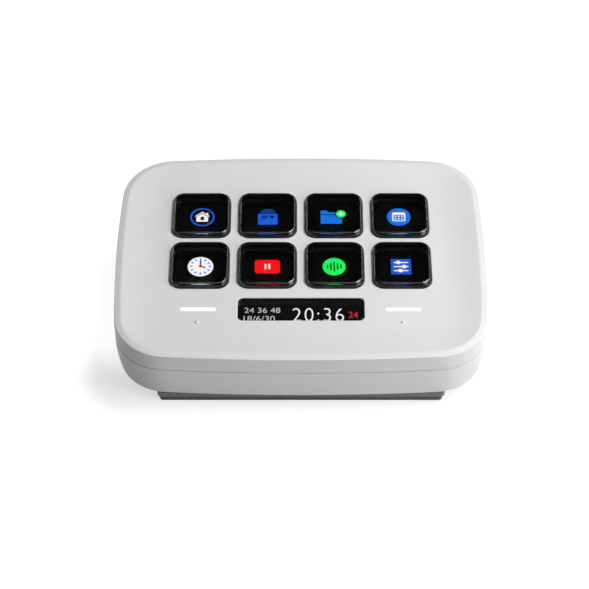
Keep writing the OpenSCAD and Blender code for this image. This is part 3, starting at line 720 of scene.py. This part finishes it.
# --- USB-C inlet --------------------------------------------------------------------------------
def usb_inlet(metal, black, gold):
    """The inlet's steel shell, and in it the tongue with two rows of contacts."""
    place = at_mouth()

    def tube(grow, out):
        w, h = USB_W + 2 * grow, USB_H + 2 * grow
        return [place(x, z, out) for x, z in rect_points(w, h, h / 2 - MIN_R, 10)]

    lead, bevel = 0.1, 0.06
    bm = bmesh.new()
    add_stack(bm, [tube(-USB_SHELL_T, -USB_DEPTH + USB_SHELL_T), tube(-USB_SHELL_T, -lead),
                   tube(-USB_SHELL_T + lead, 0), tube(-bevel, 0), tube(0, -bevel),
                   tube(0, -USB_DEPTH)])
    finish_piece("usb_inlet_shell", bm, metal, "housing", ["usb_c_socket"])

    tongue_w, tongue_t, tongue_r, mouth_gap = 6.7, 0.7, 0.25, 0.5
    nose_w, nose_l, root = 0.1, 0.15, 0.05
    bm = bmesh.new()
    add_stack(bm, [rect_ring(place, (0, 0), tongue_w, tongue_t, tongue_r, out, grow, 4)
                   for grow, out in ((-nose_w, -mouth_gap), (0, -mouth_gap - nose_l),
                                     (0, -USB_DEPTH + USB_SHELL_T + root))])
    finish_piece("usb_inlet_tongue", bm, black, "housing")

    count, pitch, contact_w, contact_r, nose = 12, 0.5, 0.28, 0.05, 0.9
    power, power_l, signal_l = (0, 3, 8, 11), 4.0, 3.6
    lift, stand, sink = 0.01, 0.02, 0.05

    def lying(x, out, z):
        return place(x, z, out)

    bm = bmesh.new()
    for row in (-1, 1):
        face = row * (tongue_t / 2 + lift)
        for i in range(count):
            length = power_l if i in power else signal_l
            centre = ((i - (count - 1) / 2) * pitch, -mouth_gap - nose - length / 2)
            add_stack(bm, [rect_ring(lying, centre, contact_w, length, contact_r, face + h, 0, 2)
                           for h in (row * stand, -row * sink)])
    finish_piece("usb_inlet_contacts", bm, gold, "housing")


# --- Pictures on the displays -------------------------------------------------------------------
LAYER_STEP = 0.02
STRIP_PICTURE_N = PANE_BASE_N + LAYER_STEP
PICTURE_SHIFT = Vector((0.05, 1.6))  # from a key's middle to its picture's


class Picture:
    """Flat lit shapes on a display, drawn in mm from the picture's middle. Each shape lies a
    little above the one before it."""

    def __init__(self, name, centre, n, mats):
        self.name, self.centre, self.n, self.mats = name, centre, n, mats
        self.layer, self.shapes = 0, {}

    def place(self, x, y, n):
        return on_face(self.centre[0] + x, self.centre[1] + y, n)

    def polygon(self, colour, points, holes=()):
        self.layer += 1
        self.shapes.setdefault(colour, []).append((self.layer, points, holes))

    def rect(self, colour, x, y, w, d, r=0.3):
        """A rectangle with round corners, which stay a little short of half a side."""
        points = [(x + a, y + b) for a, b in rect_points(w, d, min(r, w / 2.01, d / 2.01), 6)]
        self.polygon(colour, points)

    def disc(self, colour, x, y, r, inner=0.0):
        """A disc, or a ring where it has an inner radius."""
        self.polygon(colour, circle(x, y, r, 56), [circle(x, y, inner, 48)] if inner else [])

    def stroke(self, colour, x0, y0, x1, y1, w):
        """A line with round ends."""
        a = math.atan2(y1 - y0, x1 - x0)
        points = []
        for x, y, turn in ((x1, y1, a), (x0, y0, a + math.pi)):
            points += [(x + w / 2 * math.cos(turn + t), y + w / 2 * math.sin(turn + t))
                       for t in [math.pi * (i / 8 - 0.5) for i in range(9)]]
        self.polygon(colour, points)

    def build(self):
        for colour, shapes in self.shapes.items():
            bm = bmesh.new()
            for layer, points, holes in shapes:
                n = self.n + layer * LAYER_STEP
                loops = [[(bm.verts.new(self.place(x, y, n)), (x, y)) for x, y in loop]
                         for loop in [points, *holes]]
                fill_with_holes(bm, loops[0], loops[1:])
            finish_piece("%s_%s" % (self.name, colour), bm, self.mats[colour], "housing")


def key_pictures(mats):
    """Plain pictures for the eight keys, with no maker's or programme's sign among them."""
    def picture(k):
        middle = Vector(key_centre(k)) + PICTURE_SHIFT
        return Picture("key_picture_%d" % k, middle, LCD_N + LAYER_STEP / 2, mats)

    # house in a ring
    p = picture(1)
    p.disc("card_blue", 0, 0, 3.6, 3.1)
    p.polygon("white", [(-2.2, 0.35), (0, 2.2), (2.2, 0.35), (2.0, 0.1), (0, 1.75), (-2.0, 0.1)])
    p.rect("white", 1.45, 1.3, 0.5, 0.9, 0.05)
    p.polygon("white", [(-1.75, -1.85), (1.7, -1.85), (1.7, 0.0), (0, 1.4), (-1.75, 0.0)])
    p.rect("dark", 0, -0.6, 1.0, 1.35, 0.1)
    p.build()

    # stack of cards
    p = picture(2)
    p.rect("card_blue", -0.1, -0.8, 5.8, 4.4, 0.45)
    p.rect("deep_blue", -0.1, 2.1, 4.5, 0.45, 0.2)
    p.rect("deep_blue", -0.05, 2.9, 3.2, 0.4, 0.18)
    p.disc("dark", 1.23, 0.05, 0.62)
    p.rect("dark", -0.95, 0.3, 2.1, 0.45, 0.2)
    p.rect("dark", -1.1, -0.5, 1.5, 0.45, 0.2)
    p.build()

    # folder with a plus
    p = picture(3)
    p.polygon("blue", [(-3.9, -2.6), (2.4, -2.6), (2.4, 1.9), (-1.2, 1.9), (-1.6, 2.1),
                       (-2.3, 2.65), (-3.9, 2.65)])
    p.stroke("dark", -3.7, 0.95, 2.4, 0.95, 0.3)
    p.disc("dark", 2.15, 1.25, 1.75)
    p.disc("green", 2.15, 1.25, 1.47)
    p.stroke("white", 1.5, 1.25, 2.8, 1.25, 0.42)
    p.stroke("white", 2.15, 0.6, 2.15, 1.9, 0.42)
    p.build()

    # calendar
    p = picture(4)
    p.disc("blue", -0.2, 0.08, 3.5)
    p.rect("white", -0.2, 0.12, 3.95, 3.55, 0.6)
    p.rect("blue", -0.2, -0.25, 3.1, 2.2, 0.15)
    for row in range(2):
        for column in range(3):
            p.rect("white", (column - 1) * 0.95 - 0.2, -0.75 + row * 0.95, 0.5, 0.5, 0.08)
    p.build()

    # clock
    p = picture(5)
    p.disc("white", 0, 0, 3.72)
    for hour in range(12):
        a = math.radians(30 * hour)
        p.stroke("blue", 2.5 * math.sin(a), 2.5 * math.cos(a),
                 2.95 * math.sin(a), 2.95 * math.cos(a), 0.42)
    p.stroke("deep_blue", 0, 0, 0, 1.9, 0.5)
    p.stroke("deep_blue", 0, 0, 1.3, -0.6, 0.5)
    p.disc("red", 0, 0, 0.5)
    p.build()

    # pause sign
    p = picture(6)
    p.rect("red", -0.05, 0, 7.35, 5.25, 1.0)
    for side in (-1, 1):
        p.rect("white", -0.05 + side * 0.55, 0.05, 0.55, 1.95, 0.1)
    p.build()

    # level meter
    p = picture(7)
    p.disc("green", -0.1, 0, 3.35)
    for i, h in enumerate((1.4, 2.8, 3.8, 2.4, 1.6)):
        p.rect("dark_green", (i - 2) * 0.98 - 0.1, 0, 0.46, h, 0.2)
    p.build()

    # sliders
    p = picture(8)
    p.rect("mid_blue", -0.15, 0, 5.9, 5.9, 0.2)
    for i, x in enumerate((-0.95, 0.75, -0.35)):
        y = 1.6 - 1.6 * i
        p.stroke("white", -2.1, y, 1.8, y, 0.42)
        p.disc("white", x, y, 0.68)
    p.build()


def digits(name, text, box, mat, spacing=1.0, bold=0.0):
    """Plain digits on the strip display, from Blender's own font, fitted to a box on the face:
    left, front, right and back, in mm."""
    curve = bpy.data.curves.new(name, "FONT")
    curve.body = text
    curve.space_character = spacing
    curve.offset = bold
    curve.resolution_u = 6
    holder = bpy.data.objects.new(name, curve)
    bpy.context.scene.collection.objects.link(holder)
    bpy.context.view_layer.update()
    mesh = bpy.data.meshes.new_from_object(
        holder.evaluated_get(bpy.context.evaluated_depsgraph_get()))
    bpy.data.objects.remove(holder)
    bm = bmesh.new()
    bm.from_mesh(mesh)
    weld = 1e-6
    bmesh.ops.remove_doubles(bm, verts=bm.verts, dist=weld)
    left, right = (pick(vert.co.x for vert in bm.verts) for pick in (min, max))
    low, high = (pick(vert.co.y for vert in bm.verts) for pick in (min, max))
    u0, v0, u1, v1 = box
    for vert in bm.verts:
        u = u0 + (vert.co.x - left) / (right - left) * (u1 - u0)
        v = v0 + (vert.co.y - low) / (high - low) * (v1 - v0)
        vert.co = on_face(u, v, STRIP_PICTURE_N)
    finish_piece(name, bm, mat, "housing")


def strip_pictures(mats):
    """Plain digits, and a faint line along the display's back edge."""
    digits("strip_clock", "20:36", (-2.4, -23.5, 12.2, -18.6), mats["strip_white"], 1.15,
           -0.012)
    digits("strip_small_digits", "24 36 48", (-16.1, -20.4, -5.9, -18.5), mats["strip_grey"])
    digits("strip_lower_digits", "18/6/30", (-16.3, -23.6, -7.4, -21.5), mats["strip_grey"])
    digits("strip_red_digits", "24", (13.5, -22.2, 16.2, -19.9), mats["strip_red"])
    edge = Picture("strip_edge", (0, -17.2), STRIP_PICTURE_N, mats)
    edge.rect("faint", 0, 0, 34.5, 0.14, 0.06)
    edge.build()


# --- Surroundings -------------------------------------------------------------------------------
def seen_white(add, link):
    """1 for a ray from the camera, a mirror or through glass, else 0."""
    path = add("ShaderNodeLightPath")
    either = combined(add, link, "MAXIMUM", path.outputs["Is Camera Ray"],
                      path.outputs["Is Glossy Ray"])
    return combined(add, link, "MAXIMUM", either, path.outputs["Is Transmission Ray"])


# in metres, as all lengths in this section
FLOOR_SIZE, FLOOR_DROP, PAPER_GRAIN, PAPER_DEPTH = 3.0, 0.00005, 0.0025, 0.00002
# share of white that the floor adds for what sees it: in front of the keypad, and behind that
FLOOR_LIFT_FRONT, FLOOR_LIFT_BACK = 0.62, 0.93
LIFT_FRONT_Y, LIFT_BACK_Y = -0.032, -0.012


def make_floor():
    """A plain pale floor. What the lamps leave short of white is added for what sees it, least
    of it in front of the keypad, where the shadow lies."""
    mat, bsdf, add, link = shader_tools("studio_floor")
    place = add("ShaderNodeTexCoord")
    paper = add("ShaderNodeTexNoise", Scale=1 / PAPER_GRAIN, Detail=2.0)
    link(place.outputs["Object"], paper.inputs["Vector"])
    bump = add("ShaderNodeBump", Strength=0.1, Distance=PAPER_DEPTH)
    link(paper.outputs["Fac"], bump.inputs["Height"])
    link(bump.outputs["Normal"], bsdf.inputs["Normal"])
    bsdf.inputs["Base Color"].default_value = (0.7, 0.7, 0.7, 1)
    bsdf.inputs["Roughness"].default_value = 0.9
    bsdf.inputs["Specular IOR Level"].default_value = 0.1
    bsdf.inputs["Emission Color"].default_value = (1, 1, 1, 1)
    parts = add("ShaderNodeSeparateXYZ")
    link(place.outputs["Object"], parts.inputs[0])
    share = mapped(add, link, parts.outputs["Y"], FLOOR_LIFT_FRONT, FLOOR_LIFT_BACK,
                   LIFT_FRONT_Y, LIFT_BACK_Y)
    share.interpolation_type = "SMOOTHSTEP"
    lift = combined(add, link, "MULTIPLY", seen_white(add, link), share.outputs["Result"])
    link(lift, bsdf.inputs["Emission Strength"])
    bm = bmesh.new()
    bm.faces.new([bm.verts.new((x * FLOOR_SIZE, y * FLOOR_SIZE, -FLOOR_DROP))
                  for x, y in ((-1, -1), (1, -1), (1, 1), (-1, 1))])
    floor = new_object("studio_floor", bm)
    floor.data.materials.append(mat)


WORLD_LIGHT = 0.01
# What only mirrors see of the studio: a white horizon, a strip on either side and a panel
# overhead. The low and high ends are heights, from 0 at the horizon to 1 overhead.
HORIZON_LOW, HORIZON_HIGH = 0.1, 0.3
STRIP_LEVEL, STRIP_LOW, STRIP_HIGH, STRIP_BLUR = 2.4, 0.38, 0.62, 0.03
STRIP_SIDE_LOW, STRIP_SIDE_HIGH = 0.1, 0.25  # of the square of X
PANEL_LEVEL, PANEL_LOW, PANEL_BLUR = 1.3, 0.955, 0.01


def make_world():
    """White for the camera, a lit studio for mirrors, and dim for the rest."""
    world = bpy.data.worlds.new("studio")
    bpy.context.scene.world = world
    world.use_nodes = True
    tree = world.node_tree
    background = tree.nodes["Background"]
    background.inputs["Color"].default_value = (1, 1, 1, 1)
    add, link = node_adder(tree), tree.links.new

    def combine(operation, first, second):
        return combined(add, link, operation, first, second)

    def ramp(value, start, end, low, high):
        return mapped(add, link, value, low, high, start, end).outputs["Result"]

    place = add("ShaderNodeTexCoord")
    parts = add("ShaderNodeSeparateXYZ")
    link(place.outputs["Generated"], parts.inputs[0])
    height = parts.outputs["Z"]
    sideways = combine("MULTIPLY", parts.outputs["X"], parts.outputs["X"])
    above = ramp(height, STRIP_LOW - STRIP_BLUR, STRIP_LOW + STRIP_BLUR, 0, 1)
    below = ramp(height, STRIP_HIGH - STRIP_BLUR, STRIP_HIGH + STRIP_BLUR, 1, 0)
    strip = combine("MULTIPLY",
                    ramp(sideways, STRIP_SIDE_LOW, STRIP_SIDE_HIGH, 0, STRIP_LEVEL),
                    combine("MULTIPLY", above, below))
    panel = ramp(height, PANEL_LOW - PANEL_BLUR, PANEL_LOW + PANEL_BLUR, 0, PANEL_LEVEL)
    studio = combine("ADD", ramp(height, HORIZON_LOW, HORIZON_HIGH, 1, 0),
                     combine("ADD", strip, panel))
    path = add("ShaderNodeLightPath")
    mirror = combine("MAXIMUM", path.outputs["Is Glossy Ray"],
                     path.outputs["Is Transmission Ray"])
    seen = combine("MAXIMUM", path.outputs["Is Camera Ray"], combine("MULTIPLY", mirror, studio))
    link(combine("MAXIMUM", seen, WORLD_LIGHT), background.inputs["Strength"])


LAMP_AIM = Vector((0, 0, 0.02))
# name: azimuth from +X and elevation in degrees, distance and size in metres, watts
LAMPS = {
    "lamp_back_right": (30, 62, 0.85, 0.36, 3.1),
    "lamp_high_right": (0, 65, 0.75, 0.35, 1.75),
    "lamp_front_right": (-38, 48, 0.8, 0.3, 0.3),
    "lamp_low_right": (-35, 25, 0.4, 0.2, 0.67),
}


def make_lamps():
    """Square area lamps that face the keypad."""
    for name, (azimuth, elevation, distance, size, watts) in LAMPS.items():
        data = bpy.data.lights.new(name, "AREA")
        data.shape = "RECTANGLE"
        data.size = data.size_y = size
        data.energy = watts
        lamp = bpy.data.objects.new(name, data)
        a, e = math.radians(azimuth), math.radians(elevation)
        place = Vector((distance * math.cos(e) * math.cos(a),
                        distance * math.cos(e) * math.sin(a), distance * math.sin(e)))
        lamp.location = place
        lamp.rotation_euler = (LAMP_AIM - place).to_track_quat("-Z", "Y").to_euler()
        bpy.context.scene.collection.objects.link(lamp)


# --- The whole scene ----------------------------------------------------------------------------
def paint_frame(paints):
    """Gives each node of the solids its material, by its own name or its name without number."""
    for name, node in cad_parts.items():
        mat = paints[name if name in paints else name.rstrip("0123456789_")]
        node.data.materials.clear()
        node.data.materials.append(mat)


def main():
    shell = grained("shell_plastic", (0.80, 0.80, 0.805), 0.5, grain=0.16, depth=0.006)
    # The foot's base plate and pad are partly their own grey and partly painted shade: their
    # colours are darker than the plastic and rubber, standing in for the shade under the
    # housing's overhang.
    base_grey_and_painted_shade = grained("base_plastic", (0.17, 0.17, 0.172), 0.45, grain=0.2, depth=0.005)
    pad_grey_and_painted_shade = grained("foot_rubber", (0.11, 0.11, 0.112), 0.8, grain=0.12, depth=0.02)
    black = grained("frame_black", (0.008, 0.008, 0.009), 0.45, grain=0.15, depth=0.004,
                    Specular_IOR_Level=0.3)
    paint = grained("lining_paint", (0.004, 0.004, 0.0045), 0.8, grain=0.1, depth=0.002,
                    Specular_IOR_Level=0.05)
    silicone = grained("collar_silicone", (0.02, 0.02, 0.021), 0.6, grain=0.3, depth=0.004)
    board = grained("board_mask", (0.012, 0.03, 0.018), 0.5, grain=0.5, depth=0.006)
    dark_glass = grained("display_glass", (0.004, 0.004, 0.005), 0.08, grain=0.4, depth=0.0,
                         rough_span=0.02)
    steel = grained("steel_plate", (0.6, 0.61, 0.63), 0.35, grain=0.1, depth=0.004,
                    stretch=(0.05, 1, 1), metal=1.0)
    nickel = grained("socket_nickel", (0.68, 0.68, 0.7), 0.28, grain=0.15, depth=0.003, metal=1.0)
    screw = grained("screw_steel", (0.35, 0.35, 0.37), 0.35, grain=0.1, depth=0.004, metal=1.0)
    film = grained("ribbon_film", (0.55, 0.26, 0.05), 0.35, grain=0.4, depth=0.003,
                   stretch=(1, 0.05, 1))
    gold = grained("contact_gold", (0.83, 0.62, 0.28), 0.25, grain=0.1, depth=0.002, metal=1.0)
    copper = grained("electrode_copper", (0.72, 0.4, 0.28), 0.3, grain=0.1, depth=0.003,
                     metal=1.0)
    lens = clear("lens_clear", (0.98, 0.98, 1.0), haze=0.03)
    smoked = clear("smoked_window", (0.62, 0.62, 0.64), ior=1.5, haze=0.02)
    glow = lit("touch_bar_glow", (1.0, 1.0, 1.0), 1.0)
    mats = {
        "blue": lit("picture_blue", (0.008, 0.19, 0.82), 1.05, 0.2),
        "card_blue": lit("picture_card_blue", (0.007, 0.125, 0.74), 1.05, 0.2),
        "mid_blue": lit("picture_mid_blue", (0.010, 0.10, 0.70), 1.05, 0.2),
        "deep_blue": lit("picture_deep_blue", (0.008, 0.09, 0.50), 1.05, 0.2),
        "white": lit("picture_white", (1.0, 1.0, 1.0), 1.05, 0.2),
        "green": lit("picture_green", (0.015, 0.98, 0.11), 1.05, 0.2),
        "dark_green": lit("picture_dark_green", (0.003, 0.12, 0.015), 1.0, 0.2),
        "red": lit("picture_red", (1.0, 0.006, 0.006), 1.05, 0.2),
        "dark": lit("picture_dark", (0.003, 0.003, 0.003), 1.0, 0.2),
        "strip_white": lit("strip_white", (1.0, 1.0, 1.0), 1.6, 0.15),
        "strip_grey": lit("strip_grey", (0.8, 0.8, 0.8), 1.2, 0.15),
        "strip_red": lit("strip_red", (1.0, 0.05, 0.06), 1.2, 0.15),
        "strip_dark": lit("strip_dark", (0.007, 0.007, 0.0075), 1.0, 0.15),
        "faint": lit("strip_edge_line", (0.024, 0.024, 0.024), 1.0, 0.15),
    }
    paint_frame({
        "top_shell": shell, "bottom_shell": shell, "base_plate": base_grey_and_painted_shade,
        "rubber_foot": pad_grey_and_painted_shade, "ballast_plate": steel, "key_guide_frame": black,
        "contact_board": board, "lcd_panel": dark_glass, "lcd_tray": steel,
        "lcd_ribbon": film, "strip_pane": smoked, "strip_display": mats["strip_dark"],
        "strip_ribbon": film, "main_board": board, "board_chips": black,
        "usb_c_socket": nickel, "case_screws": screw, "board_screws": screw,
        "tray_screws": screw, "light_bar_left": glow, "light_bar_right": glow,
        "led_board_left": board, "led_board_right": board,
        "touch_electrode_left": copper, "touch_electrode_right": copper,
        "key_cap": lens, "key_frame": black, "collar": silicone,
    })
    make_camera()
    make_floor()
    make_world()
    make_lamps()
    top_shell(shell)
    touch_dots(shell)
    bottom_shell(shell)
    base_plate(base_grey_and_painted_shade)
    rubber_foot(pad_grey_and_painted_shade)
    for k in KEYS:
        key_lens(k, lens)
        key_lining(k, paint)
        collar(k, silicone)
    strip_pane(smoked)
    light_bar(-1, glow)
    light_bar(1, glow)
    usb_inlet(nickel, black, gold)
    key_pictures(mats)
    strip_pictures(mats)
    bpy.context.scene.view_settings.view_transform = "Standard"


main()
